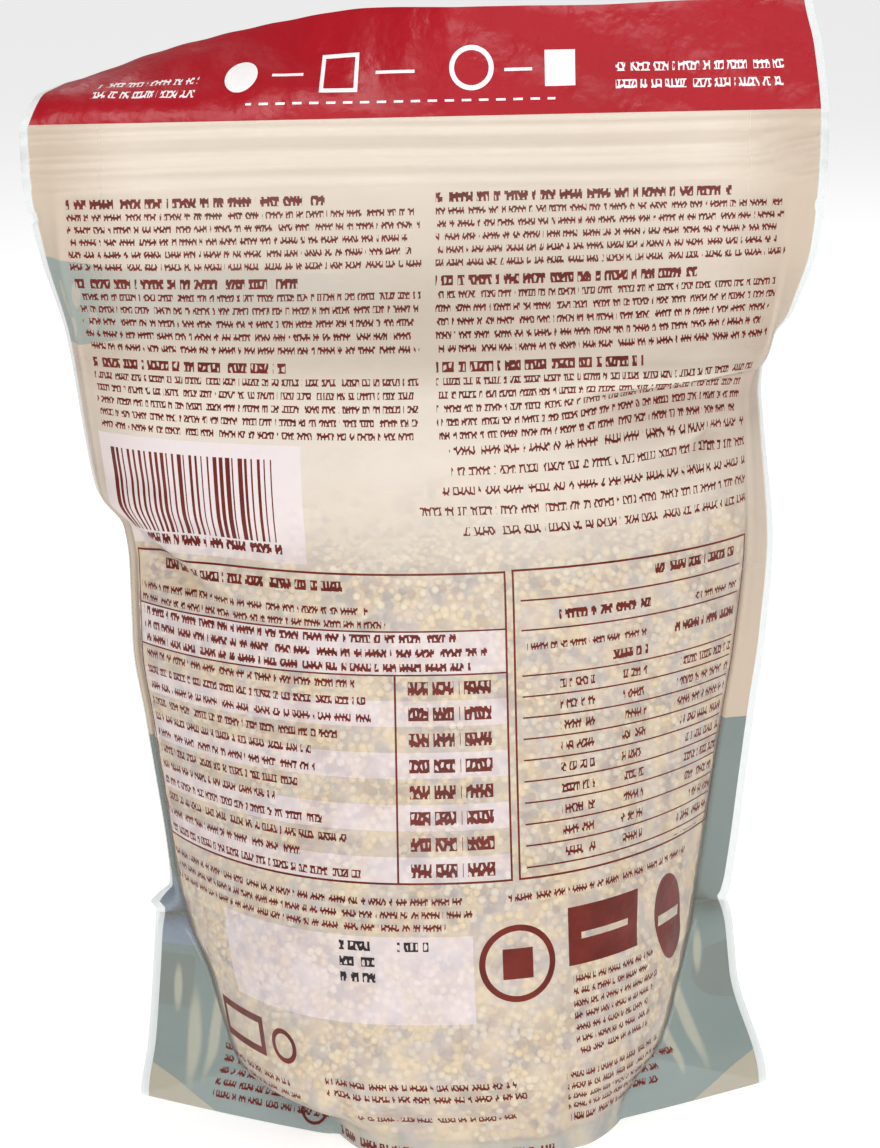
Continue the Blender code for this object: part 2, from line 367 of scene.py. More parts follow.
# Height, and the tape's readings from the middle line to where the left seal, the middle and the
# right seal of the flat film would be, if no fold near a seam swallowed any film
UNFOLDED = (
    (0, -70, 1.8, 74), (16, -72.6, 0.6, 73.6), (32, -74.2, -0.9, 72.8), (48, -75.3, -1.2, 73),
    (80, -74.4, -1.2, 72), (112, -73.8, -1.2, 71.3), (136, -74, -2, 69.5), (160, -73, -1.8, 69),
    (192, -73.3, -1.2, 70.8),
)
unfolded_marks = [curve([(mark[0], mark[i]) for mark in UNFOLDED]) for i in (1, 2, 3)]


@functools.lru_cache(maxsize=None)
def row(height, side):
    """Points from edge to edge of one film at this height, and where each one lies on the flat film."""
    marks = (-edge(height, LEFT), -seal_mark(height, LEFT), seal_mark(height, RIGHT), edge(height, RIGHT))
    x = np.union1d(np.linspace(marks[0], marks[-1], 800), marks)
    depth = film_depth(x, height, side)
    smooth = full_depth(x, height)
    along = np.concatenate(([0.0], np.cumsum(np.hypot(np.diff(x), np.diff(smooth)))))
    along_marks = np.interp(marks, x, along)
    inner_flat = HALF_WIDTH - SIDE_SEAL
    tight = np.interp(along, along_marks, (-HALF_WIDTH, -inner_flat, inner_flat, HALF_WIDTH))
    reading = along - np.interp(0.0, x, along)
    loose = np.interp(reading, [mark(height) for mark in unfolded_marks], (-inner_flat, 0.0, inner_flat))
    from_seal = np.minimum(along - along_marks[1], along_marks[2] - along)
    return x, depth, tight + (loose - tight) * ramp(from_seal, 1.0, 15.0)


def fold_push(x, height):
    """At the right fold, both films go back below the fold's line and forward above it."""
    above = height - right_fold_line(x)
    back = 3.6 * ledge(above, -1.8, 2.2, 8.0) * ramp(x, 20.0, 48.0)
    forward = 2.4 * ledge(above, 1.8, 8.0, 1.6) * ramp(x, 22.0, 50.0)
    return back - forward


def sway(x, height):
    """Slow waves of the empty upper part, which no grain holds straight."""
    strength = ramp(height, 140.0, 180.0) * (1 - 0.6 * ramp(height, 186.0, 200.0))
    crinkle = 0.2 * np.sin((x + 0.6 * height) / 2.3) * np.sin((x - 1.4 * height) / 5.1)
    crinkle = crinkle + 0.3 * np.sin((x + 1.9 * height) / 6.7 + 1.0)
    slow = 1.4 * np.sin(x / 33.0 + 0.5) * strength
    return slow + fold_push(x, height) + crinkle * ramp(height, 199.0, 205.0)


def turned_seal(x, y, height):
    """Turns the side seals about their seams, away from the viewer."""
    seam = np.where(x < 0, seal_start(height, LEFT), seal_start(height, RIGHT))
    past = np.maximum(np.abs(x) - seam, 0.0)
    turn = np.radians(np.where(x < 0, turns[LEFT](height), turns[RIGHT](height)))
    angle = turn * np.minimum(past / 2.0, 1.0)
    out = past * np.cos(angle) - y * np.sin(angle)
    back = past * np.sin(angle) + y * np.cos(angle)
    return np.where(past > 0, np.sign(x) * (seam + out), x), np.where(past > 0, back, y)


def leaning_header(x, y, height):
    """Bends the header back, more and more towards its left end."""
    up = height - HEADER_BASE
    if up <= 0:
        return x, y, np.full(len(x), height)
    share = np.maximum((LEAN_START - x) / (LEAN_START + HALF_WIDTH), 0.0)
    angle = math.radians(LEAN_ANGLE) * share**1.7 / (share + LEAN_SOFTNESS) ** 0.8
    rise = 0.0
    back = 0.0
    for i in range(LEAN_STEPS):
        here = angle * min((i + 0.5) / LEAN_STEPS * up / (HEADER_HEIGHT * LEAN_BEND), 1.0)
        rise = rise + np.cos(here) * up / LEAN_STEPS
        back = back + np.sin(here) * up / LEAN_STEPS
    tip = angle * min(up / (HEADER_HEIGHT * LEAN_BEND), 1.0)
    inward = LEAN_INWARD * share**1.2 * up / HEADER_HEIGHT
    return x + inward, back + y * np.cos(tip), HEADER_BASE + rise - y * np.sin(tip)


def filled(u, height, side, closed=1.0, inset=0.0):
    """Places in mm of the points u of one film at one height. Where closed is 0, both films touch."""
    xs, depths, flat = row(height, side)
    x = np.interp(u, flat, xs)
    depth = np.interp(u, flat, depths)
    y = side * closed * np.maximum(depth - inset, 0.0)
    x, y = turned_seal(x, y, height)
    y = y + sway(x, height)
    x, y, z = leaning_header(x, y, height)
    return np.column_stack((x + CENTRE_SHIFT, y, z))


print("middle of the back panel 100 mm up", filled(np.zeros(1), 100.0, NEAR).round(1))

# %% [markdown]
# ## The two panels of film
#
# Each panel is one sheet of film, so each is one grid of about a millimetre. The grid is laid flat
# first, its flat place is kept as a UV map for the print, and then every point moves to its place.
# At the side edges and the top both panels meet on the middle line, where the real ones are welded.

# %% Panels
FILM_UNIT = 224.0
FILL_HEIGHT = 116.0
NOTCH_HEIGHT = 181.5
DEEP_FOLD = 5.0


def new_object(name, bm, smooth=True):
    mesh = bpy.data.meshes.new(name)
    bm.to_mesh(mesh)
    bm.free()
    if smooth:
        mesh.shade_smooth()
    return link(name, mesh)


def sheet(columns, levels, places, turned=False):
    """A grid of film that keeps its flat place as a UV map, with its points moved to places in mm."""
    bm = bmesh.new()
    bmesh.ops.create_grid(bm, x_segments=len(columns) - 1, y_segments=len(levels) - 1, size=1)
    flat = bm.loops.layers.uv.new("flat")
    for vert in bm.verts:
        column = round((vert.co.x + 1) / 2 * (len(columns) - 1))
        level = round((vert.co.y + 1) / 2 * (len(levels) - 1))
        for loop in vert.link_loops:
            loop[flat].uv = ((columns[column] + HALF_WIDTH) / FILM_UNIT, levels[level] / FILM_UNIT)
        vert.co = places[level, column] * MM
    if turned:
        bmesh.ops.reverse_faces(bm, faces=bm.faces)
    bm.normal_update()
    return bm


def panel_levels():
    low = np.linspace(0.0, 186.0, 187)
    zip_band = np.linspace(186.5, 200.5, 29)
    top = np.linspace(201.5, POUCH_HEIGHT, 21)
    return np.concatenate((low, zip_band, top))


def panel_row(columns, height, side):
    """One level of a panel, with its edges welded to the other panel and its two tear notches."""
    outer = np.abs(columns) > HALF_WIDTH - 0.2
    welded = (outer | (height > POUCH_HEIGHT - 0.2)) & (height > 1)
    places = filled(columns, float(height), side, np.where(welded, 0.0, 1.0))
    notch = 1.1 * hump(height, NOTCH_HEIGHT, 0.9) * (np.abs(columns) > HALF_WIDTH - 1.5)
    places[:, 0] -= np.sign(columns) * notch
    dip = 0.5 + 0.35 * np.sin(columns / 15.0) + 0.15 * np.sin(columns / 5.2 + 1.0)
    places[:, 2] -= 0.7 * dip * ramp(height, 214.0, POUCH_HEIGHT)
    return places


def fill_line(x):
    """Height at which the heap's top meets the film. It stands higher towards the seams."""
    uneven = 1.6 * np.sin(x / 9.0 + 0.6) + 1.1 * np.sin(x / 4.3)
    return FILL_HEIGHT + 7.0 * np.abs(x / 62.0) ** 2.2 + uneven


def within_seam(x, height):
    """How far a point lies inwards of the seam on its own side."""
    return np.where(x < 0, seams[LEFT](height), seams[RIGHT](height)) - np.abs(x)


def contact_with_grain(x, height):
    """1 where grain presses on the film, 0 where the film stands free of it."""
    low_line = fill_line(x)
    return ramp(within_seam(x, height), 0.0, 2.5) * (1 - ramp(height, low_line - 9.0, low_line + 2.0))


def add_attribute(mesh, name, values):
    made = mesh.attributes.new(name, "FLOAT", "POINT")
    made.data.foreach_set("value", values.astype(np.float32))


def make_panel(name, side):
    columns = np.linspace(-HALF_WIDTH, HALF_WIDTH, 161)
    levels = panel_levels()
    places = np.array([panel_row(columns, height, side) for height in levels])
    panel = new_object(name, sheet(columns, levels, places, side == FAR))
    points = np.zeros(len(panel.data.vertices) * 3)
    panel.data.vertices.foreach_get("co", points)
    points = points.reshape(-1, 3) / MM
    x = points[:, 0] - CENTRE_SHIFT
    add_attribute(panel.data, "contact", contact_with_grain(x, points[:, 2]))
    sunk = panel_folds(x, points[:, 2], side)
    # The fold attribute is how deep the folds sink, 1 at DEEP_FOLD; the near film's colour darkens by it as
    # painted shade
    add_attribute(panel.data, "fold", np.clip(sunk / DEEP_FOLD, 0.0, 1.0))
    return panel


near_film = make_panel("near_film", NEAR)
far_film = make_panel("far_film", FAR)
print("faces of a panel", len(near_film.data.polygons))

# %% [markdown]
# ## The pleat in the bottom
#
# A third sheet closes the bottom. It is folded up between the panels and welded to each of them
# along a line that rises towards the side seals, and the grain spreads it out flat between those
# lines. It is made as one strip that climbs inside the near panel, crosses, and goes down inside the
# far one.

# %% Pleat
PLEAT_CLIMB = 10
PLEAT_CROSS = 12
PLEAT_COLUMNS = np.linspace(0.6 - HALF_WIDTH, HALF_WIDTH - 0.6, 120)


def pleat_rise(u):
    """Height on the flat film of the pleat's weld, which runs where the grain stops."""
    height = BOTTOM_SEAL
    while height < PLEAT_HEIGHT:
        xs, _, flat = row(height, NEAR)
        x = np.interp(u, flat, xs)
        if abs(x) < seams[LEFT if x < 0 else RIGHT](height):
            break
        height += 0.25
    return height


PLEAT_TOPS = np.minimum([pleat_rise(u) for u in PLEAT_COLUMNS], PLEAT_HEIGHT - 2.5)


def pleat_column(u, top):
    """One line of the pleat, up inside the near panel, across, and down inside the far panel."""
    places = []
    for step in range(2 * PLEAT_CLIMB + PLEAT_CROSS + 1):
        climb = min(step, 2 * PLEAT_CLIMB + PLEAT_CROSS - step) / PLEAT_CLIMB
        across = min(max((step - PLEAT_CLIMB) / PLEAT_CROSS, 0.0), 1.0) * 2 - 1
        side = NEAR if across < 0 else FAR
        height = round(float(top * min(climb, 1.0)), 1)
        place = filled(np.array([u]), height, side, 1.0 if climb < 1 else abs(across), 0.35)[0]
        sag = 1.6 * (1 - across**2) * ramp(top, 3.0, 9.0) if climb >= 1 else 0.0
        places.append(place - (0, 0, sag))
    return places


def make_pleat():
    columns = [pleat_column(u, top - 0.4) for u, top in zip(PLEAT_COLUMNS, PLEAT_TOPS)]
    places = np.array(columns).transpose(1, 0, 2)
    return new_object("pleat_film", sheet(PLEAT_COLUMNS, np.arange(len(places)), places, True))


pleat_film = make_pleat()
print("pleat rises to", PLEAT_TOPS.max(), "mm at the ears")

# %% [markdown]
# ## The bed of grain
#
# The pouch holds some 150 000 grains. Only those against the film can be seen, so the inside is one
# closed body with grain-sized bumps, and real loose grains lie on it, against the film. The body
# starts as a sphere: its poles become the top and the bottom of the heap, and the rest its wall.

# %% Bed
BED_INSET = 1.3
BED_BOTTOM = 3.4
BED_ACROSS = 240
BED_UP = 130
CAP_SHARE = 0.2
GRAIN_CELL = 2.1
BUMP_DEPTH = 0.75


def depth_of(x, height, near):
    """Distance of the film from the middle plane, on the near side where near is true."""
    return np.where(near, film_depth(x, height, NEAR), film_depth(x, height, FAR))


def bed_places(around, share):
    """Points of the bed. around runs once round the section, share from the bottom to the top."""
    turn = np.cos(around)
    near = np.sin(around) < 0
    wall = np.clip((share - CAP_SHARE) / (1 - 2 * CAP_SHARE), 0.0, 1.0)
    shrink = np.clip(np.minimum(share, 1 - share) / CAP_SHARE, 0.0, 1.0)
    height = BED_BOTTOM + (FILL_HEIGHT - BED_BOTTOM) * wall
    for _ in range(3):
        middle = (seams[RIGHT](height) - seams[LEFT](height)) / 2
        reach = (seams[RIGHT](height) + seams[LEFT](height)) / 2 - 0.6
        x = middle + reach * turn
        height = BED_BOTTOM + (fill_line(x) - BED_BOTTOM) * wall
    depth = np.maximum(depth_of(x, height, near) - BED_INSET, 0.15)
    y = np.where(near, -depth, depth) * shrink
    x = middle + (x - middle) * shrink
    mound = np.where(share > 0.5, 3.0, -0.6) * (1 - shrink**2)
    return np.column_stack((x + CENTRE_SHIFT, y, height + mound))


def make_bed():
    bm = bmesh.new()
    bmesh.ops.create_uvsphere(bm, u_segments=BED_ACROSS, v_segments=BED_UP, radius=1)
    ball = np.array([vert.co[:] for vert in bm.verts])
    share = np.arccos(np.clip(-ball[:, 2], -1.0, 1.0)) / math.pi
    places = bed_places(np.arctan2(ball[:, 1], ball[:, 0]), share)
    for vert, place in zip(bm.verts, places):
        vert.co = place * MM
    bmesh.ops.recalc_face_normals(bm, faces=bm.faces)
    bm.normal_update()
    for vert in bm.verts:
        nearest = noise.voronoi(vert.co / (GRAIN_CELL * MM))[0][0]
        vert.co -= vert.normal * (BUMP_DEPTH * MM * min(nearest, 0.8))
    return new_object("grain_bed", bm)


grain_bed = make_bed()
print("faces of the bed", len(grain_bed.data.polygons))

# %% [markdown]
# ## Loose grains
#
# Quinoa is a flat round seed 2 mm across. One grain is a flattened sphere of few faces, because it
# is repeated thousands of times. The grains lie in a loose honeycomb on the inside of both panels
# and over the heap's top, each pushed about a little, turned at random and a different size, always
# from the same seed so that every run agrees.

# %% Places for the grains
GRAIN_WIDTH = 2.05
GRAIN_THICK = 1.25
GRAIN_PITCH = 2.02
random_draws = np.random.default_rng(7)


def sheet_table(side):
    """Places in mm of the smooth inner film on a 1 mm grid, and its directions outward."""
    us = np.arange(-74.0, 75.0, 1.0)
    heights = np.arange(3.0, 131.0, 1.0)
    places = np.array([filled(us, float(v), side) for v in heights])
    along_u = np.gradient(places, axis=1)
    along_v = np.gradient(places, axis=0)
    outward = np.cross(along_u, along_v) * (1 if side == NEAR else -1)
    outward /= np.linalg.norm(outward, axis=2, keepdims=True)
    return us, heights, places, outward


def read_table(table, us, heights, u, v):
    """Reads a grid of vectors between its points."""
    i = np.clip((v - heights[0]).astype(int), 0, len(heights) - 2)
    j = np.clip((u - us[0]).astype(int), 0, len(us) - 2)
    s = (v - heights[i])[:, None]
    t = (u - us[j])[:, None]
    low = table[i, j] * (1 - t) + table[i, j + 1] * t
    high = table[i + 1, j] * (1 - t) + table[i + 1, j + 1] * t
    return low * (1 - s) + high * s


def honeycomb(u_reach, v_low, v_high, pitch):
    rows = np.arange(v_low, v_high, pitch * 0.866)
    points = []
    for k, v in enumerate(rows):
        us = np.arange(-u_reach, u_reach, pitch) + (pitch / 2 if k % 2 else 0.0)
        points.append(np.column_stack((us, np.full(len(us), v))))
    points = np.concatenate(points)
    return points + random_draws.uniform(-0.32, 0.32, points.shape) * pitch


def grains_on_film(side):
    """Centre and outward direction of each grain that lies against one panel."""
    us, heights, places, outward = sheet_table(side)
    points = honeycomb(73.0, 4.5, 129.0, GRAIN_PITCH)
    at = read_table(places, us, heights, points[:, 0], points[:, 1])
    out = read_table(outward, us, heights, points[:, 0], points[:, 1])
    out /= np.linalg.norm(out, axis=1, keepdims=True)
    x = at[:, 0] - CENTRE_SHIFT
    u, v = points.T
    inside = (within_seam(x, v) > 1.2) & (np.abs(at[:, 1]) > 2.0)
    kept = inside & (v > np.interp(u, PLEAT_COLUMNS, PLEAT_TOPS) + 1.0) & (v < fill_line(x) + 0.8)
    sunk = random_draws.uniform(0.85, 1.3, len(points))
    centres = at - out * sunk[:, None]
    return centres[kept], out[kept]


def grains_on_heap():
    """Grains over the top of the heap, which shows past the upper edge of the fill."""
    points = honeycomb(64.0, -36.0, 36.0, GRAIN_PITCH * 1.06)
    x, y = points.T
    line = fill_line(x)
    depth = depth_of(x, line, y < 0) - 1.6
    kept = (np.abs(y) < depth) & (within_seam(x, line) > 2.0)
    mound = 3.0 * (1 - np.clip(y / depth, -1.0, 1.0) ** 2) + random_draws.uniform(-0.3, 0.5, len(x))
    centres = np.column_stack((x + CENTRE_SHIFT, y, line + mound))[kept]
    return centres, np.tile((0.0, 0.0, 1.0), (len(centres), 1))


grain_places = (grains_on_film(NEAR), grains_on_film(FAR), grains_on_heap())
centres = np.concatenate([middle for middle, _ in grain_places])
outwards = np.concatenate([outward for _, outward in grain_places])
print("grains by the near film, by the far film and on top", [len(group[0]) for group in grain_places])

# %% Joined grains of one kind
KINDS = (("ivory_grains", 0.36), ("straw_grains", 0.34), ("red_grains", 0.15), ("black_grains", 0.15))


def one_grain():
    bm = bmesh.new()
    bmesh.ops.create_uvsphere(bm, u_segments=6, v_segments=4, radius=0.5)
    for vert in bm.verts:
        vert.co.x *= GRAIN_WIDTH
        vert.co.y *= GRAIN_WIDTH
        vert.co.z *= GRAIN_THICK
    bmesh.ops.triangulate(bm, faces=bm.faces)
    bm.verts.index_update()
    points = np.array([vert.co[:] for vert in bm.verts])
    faces = np.array([[vert.index for vert in face.verts] for face in bm.faces])
    bm.free()
    return points, faces


def grain_turns(out):
    """One rotation for each grain: it lies flat along the film, tipped and spun at random."""
    count = len(out)
    tipped = out + random_draws.normal(0.0, 0.22, (count, 3))
    tipped /= np.linalg.norm(tipped, axis=1, keepdims=True)
    spun = np.cross(tipped, random_draws.normal(0.0, 1.0, (count, 3)))
    spun /= np.linalg.norm(spun, axis=1, keepdims=True)
    return np.stack((spun, np.cross(tipped, spun), tipped), axis=2)


def join_grains(name, places, turn, size, tint):
    points, faces = one_grain()
    placed = np.einsum("nij,pj->npi", turn * size[:, None, None], points) + places[:, None, :]
    count = len(points)
    all_faces = (faces[None] + (np.arange(len(places)) * count)[:, None, None]).reshape(-1, 3)
    mesh = bpy.data.meshes.new(name)
    mesh.from_pydata((placed.reshape(-1, 3) * MM).tolist(), [], all_faces.tolist())
    add_attribute(mesh, "shade", np.repeat(tint, count))
    outer = np.clip(np.hypot(points[:, 0], points[:, 1]) / (GRAIN_WIDTH / 2), 0, 1) ** 2.5
    add_attribute(mesh, "rim", np.tile(outer, len(places)))
    mesh.shade_smooth()
    return link(name, mesh)


turns_of_grains = grain_turns(outwards)
sizes = random_draws.uniform(0.86, 1.06, len(centres))
tints = random_draws.uniform(0.0, 1.0, len(centres))
kind_draw = random_draws.uniform(0.0, 1.0, len(centres))
grains = {}
start = 0.0
for name, share in KINDS:
    chosen = (kind_draw >= start) & (kind_draw < start + share)
    grains[name] = join_grains(name, centres[chosen], turns_of_grains[chosen], sizes[chosen], tints[chosen])
    start += share
    print(name, int(chosen.sum()), "grains", len(grains[name].data.polygons), "triangles")

# %% [markdown]
# ## Writing materials as sums
#
# A material is a net of nodes. Written one node at a time it is hard to follow, so a small class
# lets a socket stand in a Python expression: adding two of them makes an Add node, and a mask can be
# turned round with 1 - mask. One method makes every other kind of node.

# %% A socket in an expression


class Wire:
    """An output socket of a material's node tree."""

    def __init__(self, tree, socket=None):
        self.tree = tree
        self.socket = socket

    def node(self, kind, settings=None, sockets=None, output=0):
        """Makes a node, sets its settings, then fills its sockets with values or other wires."""
        made = self.tree.nodes.new(kind)
        for name, value in (settings or {}).items():
            if name == "stops":
                self.set_stops(made.color_ramp, value)
            else:
                setattr(made, name, value)
        for name, value in (sockets or {}).items():
            if isinstance(value, Wire):
                self.tree.links.new(value.socket, made.inputs[name])
            else:
                made.inputs[name].default_value = value
        return Wire(self.tree, made.outputs[output])

    @staticmethod
    def set_stops(ramp_data, stops):
        while len(ramp_data.elements) < len(stops):
            ramp_data.elements.new(1.0)
        for element, (position, colour) in zip(ramp_data.elements, stops):
            element.position = position
            element.color = colour

    def math(self, operation, *values):
        return self.node("ShaderNodeMath", {"operation": operation}, dict(enumerate((self, *values))))

    def __add__(self, other):
        return self.math("ADD", other)

    __radd__ = __add__

    def __mul__(self, other):
        return self.math("MULTIPLY", other)

    __rmul__ = __mul__

    def __sub__(self, other):
        return self.math("SUBTRACT", other)

    def __rsub__(self, other):
        return self.node("ShaderNodeMath", {"operation": "SUBTRACT"}, {0: other, 1: self})

    def __truediv__(self, other):
        return self.math("DIVIDE", other)

    def __or__(self, other):
        return self.math("MAXIMUM", other)

    def __lt__(self, other):
        return self.math("LESS_THAN", other)

    def __gt__(self, other):
        return self.math("GREATER_THAN", other)

    def floor(self):
        return self.math("FLOOR")

    def fraction(self):
        return self.math("FRACT")

    def absolute(self):
        return self.math("ABSOLUTE")

    def between(self, low, high):
        """1 from low to high, 0 outside."""
        return self.math("COMPARE", (low + high) / 2, (high - low) / 2)

    def smooth(self, start, end, low=0.0, high=1.0):
        settings = {"interpolation_type": "SMOOTHSTEP"}
        return self.node("ShaderNodeMapRange", settings, {0: self, 1: start, 2: end, 3: low, 4: high})

    def chance(self):
        """A random number from 0 to 1 for each whole number that comes in."""
        return self.node("ShaderNodeTexWhiteNoise", {"noise_dimensions": "1D"}, {"W": self})

    def tint(self, under, over):
        """A colour that goes from under, where this wire is 0, to over, where it is 1."""
        settings = {"data_type": "RGBA"}
        return self.node("ShaderNodeMix", settings, {0: self, 6: under, 7: over}, 2)


def linear(red, green, blue):
    """A colour as seen on a screen, from 0 to 255, in the values that light adds up in."""
    parts = [c / 255 for c in (red, green, blue)]
    return tuple(c / 12.92 if c <= 0.04045 else ((c + 0.055) / 1.055) ** 2.4 for c in parts) + (1.0,)


def new_material(name, **constants):
    """A material with one Principled shader, whose constant values are set on its own sockets."""
    material = bpy.data.materials.new(name)
    material.use_nodes = True
    shader = material.node_tree.nodes["Principled BSDF"]
    for label, value in constants.items():
        shader.inputs[label.replace("_", " ")].default_value = value
    return material, Wire(material.node_tree), shader


def feed(wire, shader, label):
    wire.tree.links.new(wire.socket, shader.inputs[label])


def attribute(start, name):
    """A value that the mesh keeps at each of its points."""
    return start.node("ShaderNodeAttribute", {"attribute_name": name}, None, 2)


def piece_place(start):
    """Place on the piece in metres."""
    return start.node("ShaderNodeTexCoord", None, None, 3)


def mottled(start, size, detail=3.0):
    """A soft cloud of values from 0 to 1 over the piece, size in mm."""
    sockets = {"Vector": piece_place(start), "Scale": 1 / (size * MM), "Detail": detail, "Roughness": 0.5}
    return start.node("ShaderNodeTexNoise", {"noise_dimensions": "3D"}, sockets)


def any_of(masks):
    """1 where any of the masks is 1."""
    return functools.reduce(lambda first, second: first | second, masks)


print("helpers for materials", [helper.__name__ for helper in (attribute, piece_place, mottled, any_of)])

# %% [markdown]
# ## The print
#
# The print is worked out on the flat film in millimetres, from the panels' UV map, as it would be
# on a printer's sheet: fields of colour, rules and frames, rows of short plain strokes in blocks,
# and a few simple shapes. On the bulging film they then bend by themselves. A picture would do the
# same with less work, but a picture has one size, and these stay sharp at any.

# %% Strokes in rows
RULE_HALF = 0.16
FRAME_HALF = 0.2


def film_place(start):
    """Place across and up the flat film in mm."""
    uv = start.node("ShaderNodeUVMap", {"uv_map": "flat"})
    parts = uv.node("ShaderNodeSeparateXYZ", None, {0: uv})
    across = parts * FILM_UNIT - HALF_WIDTH
    up = Wire(parts.tree, parts.socket.node.outputs[1]) * FILM_UNIT
    return across, up


def stroke_rows(u, v, pitch, stroke, weight, tall=0.5):
    """Rows of short strokes, with gaps between groups of them, over the whole sheet."""
    level = v / pitch
    number = level.floor()
    share = level.fraction()
    drift = number.chance() * 97.0
    place = u.node("ShaderNodeCombineXYZ", None, {0: (u + drift) / stroke, 1: v / (stroke * 1.9), 2: 0.0})
    settings = {"feature": "DISTANCE_TO_EDGE", "voronoi_dimensions": "2D"}
    cells = u.node("ShaderNodeTexVoronoi", settings, {"Vector": place, "Scale": 1.0, "Randomness": 0.72})
    marks = cells < weight
    first = ((u + drift) / (stroke * 6.1)).fraction() > 0.14
    second = ((u - drift * 1.7) / (stroke * 10.3)).fraction() > 0.1
    return marks * first * second * share.between(0.24, 0.24 + tall)


def block(u, v, left, right, bottom, top, ragged=0.0, pitch=2.5, from_right=False):
    """A rectangle whose far end is uneven from row to row."""
    if not ragged:
        return u.between(left, right) * v.between(bottom, top)
    uneven = (v / pitch).floor().chance() * ragged
    if from_right:
        return (u > uneven + left) * (u < right) * v.between(bottom, top)
    return (u > left) * (u < right - uneven) * v.between(bottom, top)


def rule(u, v, left, right, height, half=RULE_HALF):
    return u.between(left, right) * v.between(height - half, height + half)


def frame_lines(u, v, left, right, bottom, top, half=FRAME_HALF):
    """The four sides of a printed frame."""
    outer = u.between(left - half, right + half) * v.between(bottom - half, top + half)
    inner = u.between(left + half, right - half) * v.between(bottom + half, top - half)
    return outer - inner


def disc(u, v, centre_u, centre_v, radius_u, radius_v, lean=0.0):
    """Distance from the middle of an ellipse, where 1 is its edge."""
    du = (u - centre_u) / radius_u
    dv = (v - centre_v) / radius_v
    if lean:
        dv = dv + du * lean
    return (du * du + dv * dv).math("SQRT")


# %% Layout of the back panel's print
COLUMN_TOP = 186.2
COLUMN_STEP = 15.5
BOLD_ROW = 3.0
SMALL_ROW = 2.42
COLUMN_BLOCK = 15.1
ROW_OFFSET = 40
COLUMNS = (
    (-71.5, -0.8, -20.0), (-71.0, -0.6, -25.5), (-70.0, -0.4, -28.0),
    (2.0, 73.0, 61.0), (2.0, 72.5, 55.0), (2.0, 71.0, 44.0),
)
SMALL_BLOCKS = (
    (-69.0, 6.0, 47.5, 55.0, 6.0), (13.0, 61.0, 52.5, 55.0, 0.1),
    (-69.0, -4.0, 105.0, 110.0, 10.0), (26.0, 52.0, 20.0, 37.5, 6.0),
    (17.5, 44.5, 100.0, 102.5, 3.0), (57.0, 69.0, 105.0, 107.5, 0.1),
    (-63.0, -33.0, 2.5, 15.0, 5.0), (-26.0, 17.0, 12.5, 17.5, 5.0), (23.0, 60.0, 5.0, 17.5, 7.0),
    (-20.0, 12.0, 7.5, 10.0, 0.1),
)
BOLD_BLOCKS = (
    (-60.0, -18.0, 111.6, 114.7), (46.0, 68.0, 111.6, 114.7), (24.5, 45.0, 105.4, 108.5),
    (36.0, 44.5, 96.1, 99.2), (51.0, 69.0, 99.2, 102.3), (-30.0, 19.0, 0.0, 3.1),
    (-66.0, -30.0, 117.8, 120.9),
)
LARGE_BLOCK = (-4.0, 71.5, 121.7, 140.5)
BAR_FIELD = (-71.0, -25.0, 117.0, 139.5)
BARS = (-69.0, -30.5, 120.8, 136.8)
BAR_STEP = 1.36
LEFT_TABLE = (-70.0, 13.8, 57.2, 115.6)
LEFT_TABLE_RULES = (105.0, 96.6)
LEFT_TABLE_COLUMN = -8.0
TABLE_ROW = 4.92
LABEL_ROW = TABLE_ROW * 2 / 3
RIGHT_TABLE = (15.4, 71.0, 57.2, 115.8)
RIGHT_TABLE_RULES = (110.2, 104.5)
RIGHT_TABLE_FIRST = 95.8
RIGHT_TABLE_ROW = 4.05
PALE_FIELD = (-50.0, 6.0, 29.5, 47.0)
DARK_ROWS = ((-20.0, -13.0, 37.2, 46.5), (-8.5, -2.5, 43.4, 46.5))
HEADER_LINKS = ((-31.5, -25.0), (-10.0, -2.0), (16.0, 21.5))
HEADER_FIELDS = ((38.0, 72.0), (-68.0, -47.0))


def column_strokes(u, v):
    """Two columns of three blocks. Each block is a bold row over five small ones."""
    number = ((COLUMN_TOP - v) / COLUMN_STEP).floor()
    below = (COLUMN_TOP - v) - number * COLUMN_STEP
    row_place = (below - BOLD_ROW) + number * (ROW_OFFSET * SMALL_ROW)
    rows = stroke_rows(u, row_place, SMALL_ROW, 0.66, 0.2, 0.54) * below.between(BOLD_ROW, COLUMN_BLOCK)
    heads = stroke_rows(u, below + number * (ROW_OFFSET * BOLD_ROW), BOLD_ROW, 0.9, 0.26, 0.62)
    heads = heads * below.between(0.0, BOLD_ROW)
    blocks = []
    for place, (left, right, head_end) in enumerate(COLUMNS):
        top = COLUMN_TOP - COLUMN_STEP * (place % 3)
        band = v.between(top - COLUMN_STEP, top)
        ragged_row = block(u, row_place, left, right, -5.0, 500.0, 2.6, SMALL_ROW)
        blocks.append(band * (rows * ragged_row | heads * u.between(left, head_end)))
    return any_of(blocks)


